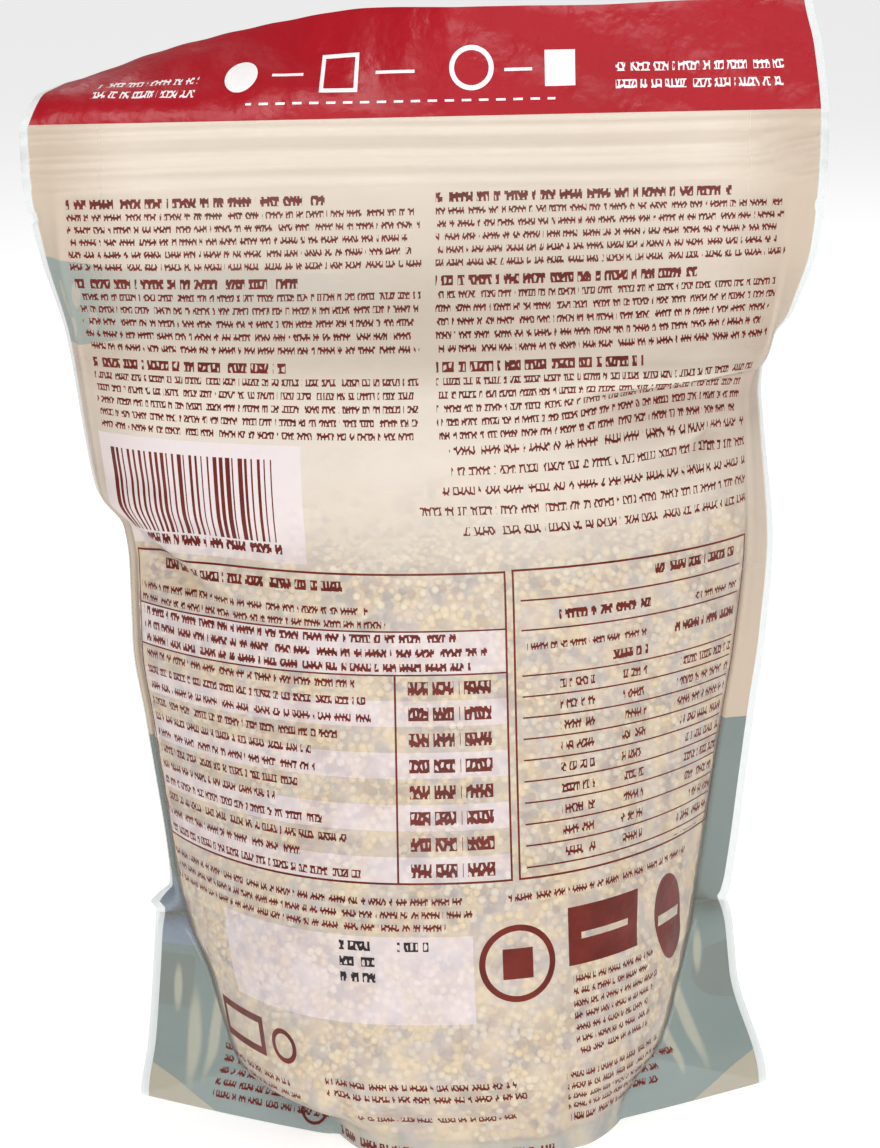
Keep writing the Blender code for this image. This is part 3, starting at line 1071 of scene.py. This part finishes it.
def left_table(u, v):
    """Ruled frame with a strip of bold rows, small labels at its left and thick values at its right."""
    left, right, bottom, _ = LEFT_TABLE
    first = LEFT_TABLE_RULES[-1]
    labels = stroke_rows(u, v - first, LABEL_ROW, 0.72, 0.2, 0.46)
    labels = labels * block(u, v - first, -68.5, -12.0, -39.4, 0.0, 24.0, LABEL_ROW)
    strip = stroke_rows(u, v - first, 2.8, 0.8, 0.24, 0.56)
    strip = strip * block(u, v - first, -68.5, 12.0, 0.0, 8.4, 9.0, 2.8)
    in_row = ((first - v) / TABLE_ROW).fraction().between(0.26, 0.78)
    values = u.between(-5.5, 11.0) * v.between(57.6, 96.0) * in_row
    thick = stroke_rows(u, v + 100.0, 300.0, 1.0, 0.26, 0.76)
    rules = any_of([rule(u, v, left, right, height) for height in LEFT_TABLE_RULES])
    divider = u.between(LEFT_TABLE_COLUMN - FRAME_HALF, LEFT_TABLE_COLUMN + FRAME_HALF)
    divider = divider * v.between(bottom, first)
    return any_of([labels, strip, thick * values, frame_lines(u, v, *LEFT_TABLE), rules, divider])


def right_table(u, v):
    """Ruled frame with two narrow columns of strokes and one wide column that ends evenly."""
    left, right, bottom, _ = RIGHT_TABLE
    thin = stroke_rows(u, v - RIGHT_TABLE_FIRST, RIGHT_TABLE_ROW, 0.76, 0.19, 0.42)
    wide = block(u, v - RIGHT_TABLE_FIRST, 52.0, 69.5, -38.0, 0.0, 9.0, RIGHT_TABLE_ROW, True)
    narrow = (u.between(24.5, 32.0) | u.between(38.5, 44.5)) * v.between(58.0, RIGHT_TABLE_FIRST)
    in_row = ((RIGHT_TABLE_FIRST - v) / RIGHT_TABLE_ROW).fraction()
    lines = [v.between(bottom, RIGHT_TABLE_FIRST) * (in_row < 0.075)]
    lines += [v.between(height - RULE_HALF, height + RULE_HALF) for height in RIGHT_TABLE_RULES]
    rules = u.between(left + 1.4, right - 1.4) * any_of(lines)
    return any_of([thin * (wide | narrow), frame_lines(u, v, *RIGHT_TABLE), rules])


def bars(u, v):
    """Upright bars of random width at an even step."""
    step = u / BAR_STEP
    draw = step.floor().chance()
    bar_share = draw * draw * 0.62 + 0.2
    return (bar_share > step.fraction()) * block(u, v, *BARS)


def back_print(u, v):
    """Masks of the brown-red print and of the black rows."""
    small = stroke_rows(u, v, 2.5, 0.66, 0.2, 0.54)
    small = small * any_of([block(u, v, *place) for place in SMALL_BLOCKS])
    large = stroke_rows(u, v, 3.8, 0.82, 0.16, 0.42) * block(u, v, *LARGE_BLOCK, 16.0, 3.8, True)
    bold = stroke_rows(u, v, 3.1, 0.9, 0.26, 0.6)
    headings = bold * any_of([block(u, v, *place) for place in BOLD_BLOCKS])
    dark = bold * any_of([block(u, v, *place) for place in DARK_ROWS])
    ink = [small, large, headings, column_strokes(u, v), left_table(u, v), right_table(u, v), bars(u, v)]
    return any_of(ink), dark


def pale_fields(u, v):
    left, right, bottom, _ = LEFT_TABLE
    upper, lower = LEFT_TABLE_RULES
    level = (lower - v) / TABLE_ROW
    striped = ((level / 2).fraction() > 0.5) * v.between(bottom, lower) | v.between(lower, upper)
    return block(u, v, *BAR_FIELD) | striped * u.between(left, right) | block(u, v, *PALE_FIELD)


def plain_shapes(u, v):
    """Simple shapes: a rectangle, an oval with a bar, a ring with a square, a pill and two rings."""
    box = block(u, v, 25.2, 43.6, 39.0, 50.4) * (1 - block(u, v, 28.2, 40.6, 43.9, 45.2))
    oval = (disc(u, v, 56.0, 41.5, 6.2, 8.6, 0.35) < 1.0) * (1 - block(u, v, 51.5, 60.5, 40.6, 42.6))
    far_out = disc(u, v, 14.6, 41.0, 7.6, 7.6)
    ring = far_out.between(0.84, 1.0) | block(u, v, 11.6, 17.6, 38.0, 44.0)
    pill = frame_lines(u, v, -59.0, -43.0, 18.6, 25.2, 0.8)
    pill_ring = disc(u, v, -36.0, 21.6, 3.6, 3.6).between(0.7, 1.0)
    small_ring = disc(u, v, -38.0, 4.6, 3.2, 3.2).between(0.8, 1.0)
    return any_of([box, oval, ring, pill, pill_ring, small_ring])


def header_shapes(u, v):
    """White shapes on the header: a disc, a ring, two squares, links, dashes and rows of strokes."""
    spot = disc(u, v, -38.0, 209.0, 3.4, 3.4) < 1.0
    ring = disc(u, v, 9.5, 209.5, 4.4, 4.4).between(0.78, 1.0)
    square = frame_lines(u, v, -21.0, -14.0, 205.6, 212.6, 0.4)
    post = block(u, v, 24.0, 30.0, 205.6, 212.6)
    dashes = (u / 3.4).fraction().between(0.2, 0.75) * rule(u, v, -36.0, 26.0, 203.2, 0.22)
    links = any_of([rule(u, v, left, right, 209.0, 0.3) for left, right in HEADER_LINKS])
    fields = any_of([block(u, v, left, right, 204.0, 210.8) for left, right in HEADER_FIELDS])
    return any_of([spot, ring, square, post, dashes, links, stroke_rows(u, v, 3.4, 0.8, 0.17) * fields])


print("blocks of small strokes", len(SMALL_BLOCKS))

# %% [markdown]
# ## Film
#
# The film is clear plastic with a thin milky coat, so a grain that touches it shows, and what lies
# deeper is dim. That is a see-through share (Alpha) that is low on bare film and high under ink.
# A rough transmission shader could blur what lies behind, but it is slow and is lost on export. The
# outer 1.6 mm along both side seals carries no coat. The surface is satin, and its small bumps are
# pressed out by the grain behind it.

# %% Near panel's film
CREAM_DARK = linear(228, 216, 202)
CREAM_LIGHT = linear(236, 226, 214)
BARE_FILM = linear(226, 231, 230)
RED_DARK = linear(160, 8, 24)
RED_LIGHT = linear(178, 12, 32)
INK_DARK = linear(94, 22, 12)
INK_LIGHT = linear(114, 32, 20)
# Painted shade: a darker cream towards both side seals, where the film turns away from the light
PAINTED_SIDE_SHADE = linear(190, 170, 148)
# Painted shade in the folds of the near film
PAINTED_FOLD_SHADE = linear(186, 170, 158)
BLOTCH_WARM = linear(226, 202, 162)
BLOTCH_COOL = linear(184, 174, 178)
INK_BLACK = linear(36, 28, 30)
PALE_LILAC = linear(238, 226, 232)
WHITE_INK = linear(250, 246, 246)
MARGIN = 1.6
HEADER_OVERLAP = 0.6
BARE_ALPHA = 0.5


def film_zones(u, v):
    """Masks of the header and of the bare rim along the side seals."""
    return v > HEADER_BASE + HEADER_OVERLAP, u.absolute() > HALF_WIDTH - MARGIN


def header_and_rim(colour, cloud, white, header, bare):
    """Lays the red header with its white shapes and then the bare rim over a film's colour."""
    red = cloud.tint(RED_DARK, RED_LIGHT)
    colour = header.tint(colour, white.tint(red, WHITE_INK))
    return bare.tint(colour, BARE_FILM)


def satin(start, shader, header):
    """Satin film that the grain presses into small soft bumps. The header's ink is glossier."""
    feed(mottled(start, 9.0).smooth(0.3, 0.7, 0.36, 0.5) - header * 0.1, shader, "Roughness")
    relief = mottled(start, 2.4, 1.5) + mottled(start, 9.0, 2.0) * 2.0
    relief = relief + mottled(start, 4.0) * header * 2.0
    bump = start.node("ShaderNodeBump", None, {"Strength": 0.5, "Distance": 0.0003, "Height": relief})
    feed(bump, shader, "Normal")


def near_material():
    material, start, shader = new_material("printed_film", Specular_IOR_Level=0.28, IOR=1.5)
    u, v = film_place(start)
    ink, dark = back_print(u, v)
    pale = pale_fields(u, v)
    header, bare = film_zones(u, v)
    body = 1 - header
    ink = (ink | plain_shapes(u, v)) * body
    dark = dark * body
    white = header_shapes(u, v) * header

    cloud = mottled(start, 22.0)
    contact = attribute(start, "contact")
    colour = cloud.tint(CREAM_DARK, CREAM_LIGHT)
    # Painted shade on the near film towards both side seals
    colour = (u.absolute().smooth(56.0, 76.0) * 0.4).tint(colour, PAINTED_SIDE_SHADE)
    # Painted shade: the film darkens in its folds, by how deep they sink
    colour = (attribute(start, "fold") * 0.6).tint(colour, PAINTED_FOLD_SHADE)
    blotch = mottled(start, 5.0, 2.0).smooth(0.38, 0.62)
    colour = (contact * 0.4).tint(colour, blotch.tint(BLOTCH_WARM, BLOTCH_COOL))
    colour = (pale * 0.7).tint(colour, PALE_LILAC)
    worn = mottled(start, 7.0).smooth(0.3, 0.7)
    colour = ink.tint(colour, worn.tint(INK_DARK, INK_LIGHT))
    colour = dark.tint(colour, INK_BLACK)
    colour = header_and_rim(colour, cloud, white, header, bare)

    pressed = mottled(start, 8.0).smooth(0.35, 0.65, 0.12, -0.06)
    veil = contact * (0.35 + pressed) | v.smooth(98.0, 128.0) * 0.4 * (1 - v.smooth(146.0, 156.0))
    off_the_sides = 1 - u.absolute().smooth(50.0, 70.0)
    film = 0.19 + veil + v.smooth(90.0, 150.0) * (off_the_sides * 0.16 + 0.08) + cloud * 0.05
    alpha = film + pale * 0.1
    alpha = alpha + (ink | dark) * (0.99 - alpha)
    alpha = alpha + header * (1.0 - alpha)
    alpha = alpha + bare * (BARE_ALPHA - alpha)

    feed(colour, shader, "Base Color")
    feed(alpha, shader, "Alpha")
    satin(start, shader, header)
    return material


near_film.data.materials.append(near_material())
print("nodes of the printed film", len(near_film.data.materials[0].node_tree.nodes))

# %% [markdown]
# ## The front panel
#
# The front panel faces away. Its print is opaque: a cream field, a red header, soft bands of
# blue-grey hills and a clear window over the grain. Its inside shows through the near film wherever
# there is no grain, in the ears and by the side seals, which gives those parts their blue-grey.

# %% Far panel's film
HILL_BLUE = linear(76, 108, 112)
HILL_BLUE_LIGHT = linear(88, 122, 126)
HILL_PALE = linear(118, 148, 150)
BLUE_BAND = linear(112, 138, 168)
FAR_CREAM_DARK = linear(220, 208, 191)
FAR_CREAM_LIGHT = linear(229, 218, 203)
FRONT_RED = linear(150, 40, 36)
# Place across, height, half width, half height and lean of each pale sprig on the upper hill
SPRIGS = (
    (-75.0, 165.0, 1.2, 4.0, 0.4), (-71.5, 166.5, 1.0, 2.4, -0.5), (-69.0, 161.0, 1.0, 2.4, -0.5),
    (-74.0, 159.5, 1.0, 2.4, -0.5),
)
WINDOW = (0.0, 57.0, 44.0, 35.0)


def far_material():
    material, start, shader = new_material("front_film", Specular_IOR_Level=0.5, IOR=1.5)
    u, v = film_place(start)
    header, bare = film_zones(u, v)
    ridge = (u / 17.0).math("SINE") * 2.0 + (u / 6.5 + 1.0).math("SINE") * 0.8
    upper_hill = (v < ridge + 171.0) * (v > 156.5) * (u < 24.0)
    lower_edge = (u / 26.0).math("SINE") * 1.6
    lower_hill = v < lower_edge + 77.0
    pale_band = (v < lower_edge + 47.0) * (v > lower_edge + 39.0) * (u < 0.0)
    cloud = mottled(start, 26.0)

    colour = cloud.tint(FAR_CREAM_DARK, FAR_CREAM_LIGHT)
    # Painted shade on the front film towards both side seals
    colour = (u.absolute().smooth(56.0, 76.0) * 0.7).tint(colour, PAINTED_SIDE_SHADE)
    fading = (1 - u.smooth(-76.0, -58.0)) * 0.5 + (1 - u.smooth(-50.0, 20.0)) * 0.5
    sprigs = any_of([disc(u, v, *sprig) < 1.0 for sprig in SPRIGS])
    colour = (upper_hill * fading * (1 - sprigs * 0.5)).tint(colour, HILL_PALE)
    colour = lower_hill.tint(colour, cloud.tint(HILL_BLUE, HILL_BLUE_LIGHT))
    colour = (pale_band * lower_hill * 0.7).tint(colour, BLUE_BAND)
    white = frame_lines(u, v, -30.0, 30.0, 204.5, 213.5, 0.5) | block(u, v, -22.0, 22.0, 207.6, 210.4)
    bar = block(u, v, -34.0, 34.0, 99.0, 106.0) | rule(u, v, -38.0, 38.0, 95.5, 0.5)
    colour = bar.tint(colour, FRONT_RED)
    colour = header_and_rim(colour, cloud, white, header, bare)

    oval = disc(u, v, *WINDOW)
    window = oval < 1.0
    colour = oval.between(1.0, 1.04).tint(colour, WHITE_INK)
    feed(window.tint(colour, CREAM_LIGHT), shader, "Base Color")
    feed(1.0 - window * 0.86 - bare * BARE_ALPHA, shader, "Alpha")
    satin(start, shader, header)
    return material


# Place across, height, half width, half height and lean of each pale reed in the ears
REEDS = (
    (-70.0, 14.0, 1.9, 10.0, 0.3), (-65.5, 16.0, 1.5, 9.0, -0.5), (-74.5, 24.0, 1.0, 5.0, 0.2),
    (66.0, 17.0, 2.0, 9.5, 0.6), (60.0, 12.0, 1.4, 6.0, 0.2), (72.0, 30.0, 1.2, 4.5, -0.4),
)
REED_PALE = linear(176, 180, 162)
PLEAT_LIGHT = linear(100, 134, 136)
# Painted shade: a darker blue-grey for patches at the ears' outer ends
PLEAT_PAINTED_SHADE = linear(78, 92, 92)
# Cream of the strip at the ears' foot, darkened with painted shade
PLEAT_CREAM_IN_PAINTED_SHADE = linear(172, 168, 150)


def pleat_material():
    """The pleat carries the same blue-grey, with patches of painted shade at the ears' outer ends, down to
    a cream strip darkened with painted shade that narrows towards the middle.
    """
    material, start, shader = new_material("pleat_film", Specular_IOR_Level=0.5, IOR=1.5)
    u, _ = film_place(start)
    parts = start.node("ShaderNodeSeparateXYZ", None, {0: piece_place(start)}, 2)
    height = parts * (1 / MM)
    cloud = mottled(start, 12.0)
    far_out = u.absolute()
    strip = (far_out - 62.0).math("MAXIMUM", 0.0) * 0.45
    bare = far_out > HALF_WIDTH - MARGIN
    colour = cloud.tint(HILL_BLUE_LIGHT, PLEAT_LIGHT)
    band = height.between(33.0, 38.5) * (u < 0.0)
    colour = (band * 0.8).tint(colour, BLUE_BAND)
    # Patches of painted shade at the outer ends of both ears
    painted_shade_patches = (disc(u, height, 79.0, 25.0, 9.0, 6.0) < 1.0) | block(u, height, -80.0, -71.0, 20.0, 31.0)
    colour = (painted_shade_patches * 0.5).tint(colour, PLEAT_PAINTED_SHADE)
    for reed in REEDS:
        colour = (disc(u, height, *reed).smooth(1.2, 0.5) * 0.85).tint(colour, REED_PALE)
    # The cream strip, darkened with painted shade
    colour = (height < strip).tint(colour, PLEAT_CREAM_IN_PAINTED_SHADE)
    colour = bare.tint(colour, BARE_FILM)
    feed(colour, shader, "Base Color")
    feed(0.9 - bare * 0.5, shader, "Alpha")
    feed(cloud.smooth(0.3, 0.7, 0.3, 0.45), shader, "Roughness")
    return material


far_film.data.materials.append(far_material())
pleat_film.data.materials.append(pleat_material())
print("nodes of the front film", len(far_film.data.materials[0].node_tree.nodes))

# %% [markdown]
# ## Grain colours
#
# The seeds are mostly ivory and straw, with some red-brown and some black ones, and each keeps a
# shade of its own. The milky film shows only what touches it clearly, so each grain fades from its
# crown to its rim into the dim colour of what lies deeper. The bed under the loose grains has the
# same colours in cells of a grain's size, so no plain ground shows between them.

# %% Grain
GRAIN_COLOURS = {
    "ivory_grains": (linear(240, 226, 190), linear(250, 242, 218)),
    "straw_grains": (linear(236, 208, 146), linear(246, 224, 168)),
    "red_grains": (linear(136, 92, 78), linear(164, 114, 96)),
    "black_grains": (linear(78, 80, 94), linear(112, 112, 126)),
}
BED_COLOURS = (
    (0.0, linear(234, 220, 192)), (0.34, linear(228, 206, 166)),
    (0.7, linear(178, 150, 136)), (0.85, linear(150, 146, 152)),
)
HAZE_WARM = linear(222, 200, 168)
HAZE_COOL = linear(186, 182, 182)


def deep_haze(start):
    """Colour of what lies deeper, in warm and cool patches as the kinds of seed mix unevenly."""
    return mottled(start, 5.5).smooth(0.38, 0.62).tint(HAZE_WARM, HAZE_COOL)


def grain_material(name, dark, light):
    material, start, shader = new_material(name, Specular_IOR_Level=0.35)
    body = attribute(start, "shade").tint(dark, light)
    deeper = mottled(start, 7.0).smooth(0.35, 0.65, 0.0, 0.4)
    feed((attribute(start, "rim") * 0.7 | deeper).tint(body, deep_haze(start)), shader, "Base Color")
    speck = mottled(start, 0.5, 2.0)
    feed(speck.smooth(0.3, 0.7, 0.5, 0.66), shader, "Roughness")
    bump = start.node("ShaderNodeBump", None, {"Strength": 0.2, "Distance": 0.0001, "Height": speck})
    feed(bump, shader, "Normal")
    return material


def bed_material():
    material, start, shader = new_material("grain_bed", Specular_IOR_Level=0.3)
    sockets = {"Vector": piece_place(start), "Scale": 1 / (GRAIN_CELL * MM)}
    cells = start.node("ShaderNodeTexVoronoi", None, sockets, 1)
    pick = cells.node("ShaderNodeSeparateXYZ", None, {0: cells})
    chosen = pick.node("ShaderNodeValToRGB", {"stops": BED_COLOURS}, {0: pick})
    chosen.socket.node.color_ramp.interpolation = "CONSTANT"
    gap = start.node("ShaderNodeTexVoronoi", None, sockets, 0).smooth(0.35, 0.75)
    feed((gap * 0.8).tint(chosen, deep_haze(start)), shader, "Base Color")
    feed(gap.smooth(0.0, 1.0, 0.55, 0.8), shader, "Roughness")
    return material


for name, (dark, light) in GRAIN_COLOURS.items():
    grains[name].data.materials.append(grain_material(name, dark, light))
grain_bed.data.materials.append(bed_material())
print("grain materials", len(GRAIN_COLOURS) + 1)

# %% [markdown]
# ## Every piece rides with the pouch
#
# The imported pouch is one solid. It is hidden, and the film and the grain stand for it. The near
# film and the pleat let light through to the grain, so they cast no shadow of their own.

# %% Bodies and replaced node
pieces = [near_film, far_film, pleat_film, grain_bed, *grains.values()]
for piece in pieces:
    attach(piece, "root")
    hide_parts("pouch")
near_film.visible_shadow = False
pleat_film.visible_shadow = False
print("pieces", [piece.name for piece in pieces])

# %% [markdown]
# ## Floor and light
#
# The pouch was photographed on white. A wide soft light in front of it, a weaker one above, one
# behind it and a plain surround give the same even, nearly shadowless look. The pale floor gives off
# a little light of its own, which keeps it as white as in the picture.

# %% Floor, lights and surround
FLOOR_SIZE = 3.0
SURROUND_LIGHT = 0.38
FLOOR_GLOW = 0.46


def make_floor():
    bm = bmesh.new()
    bmesh.ops.create_grid(bm, x_segments=1, y_segments=1, size=FLOOR_SIZE)
    floor = new_object("floor", bm, False)
    material, start, shader = new_material("floor", Roughness=0.7)
    cloud = mottled(start, 300.0)
    feed(cloud.tint((0.93, 0.93, 0.93, 1), (0.95, 0.95, 0.95, 1)), shader, "Base Color")
    shader.inputs["Emission Color"].default_value = (1, 1, 1, 1)
    shader.inputs["Emission Strength"].default_value = FLOOR_GLOW
    floor.data.materials.append(material)
    return floor


def soft_light(name, place, size, power):
    data = bpy.data.lights.new(name, "AREA")
    data.shape = "SQUARE"
    data.size = size
    data.energy = power
    lamp = link(name, data)
    lamp.location = place
    lamp.rotation_euler = (PICTURE_CENTRE - Vector(place)).to_track_quat("-Z", "Y").to_euler()
    return lamp


make_floor()
soft_light("key", (0.05, -1.1, 0.6), 0.6, 7.0)
soft_light("top", (0.1, 0.1, 1.3), 0.8, 1.8)
soft_light("back", (0.2, 0.9, 0.9), 0.8, 3.0)


def make_surround():
    """White where it is seen, and a little dimmer as light, so that the lamps model the form."""
    world = bpy.data.worlds.new("surround")
    world.use_nodes = True
    background = world.node_tree.nodes["Background"]
    background.inputs[0].default_value = (1, 1, 1, 1)
    seen = Wire(world.node_tree).node("ShaderNodeLightPath")
    strength = seen * (1 - SURROUND_LIGHT) + SURROUND_LIGHT
    world.node_tree.links.new(strength.socket, background.inputs[1])
    bpy.context.scene.world = world


make_surround()
bpy.context.scene.view_settings.view_transform = "Standard"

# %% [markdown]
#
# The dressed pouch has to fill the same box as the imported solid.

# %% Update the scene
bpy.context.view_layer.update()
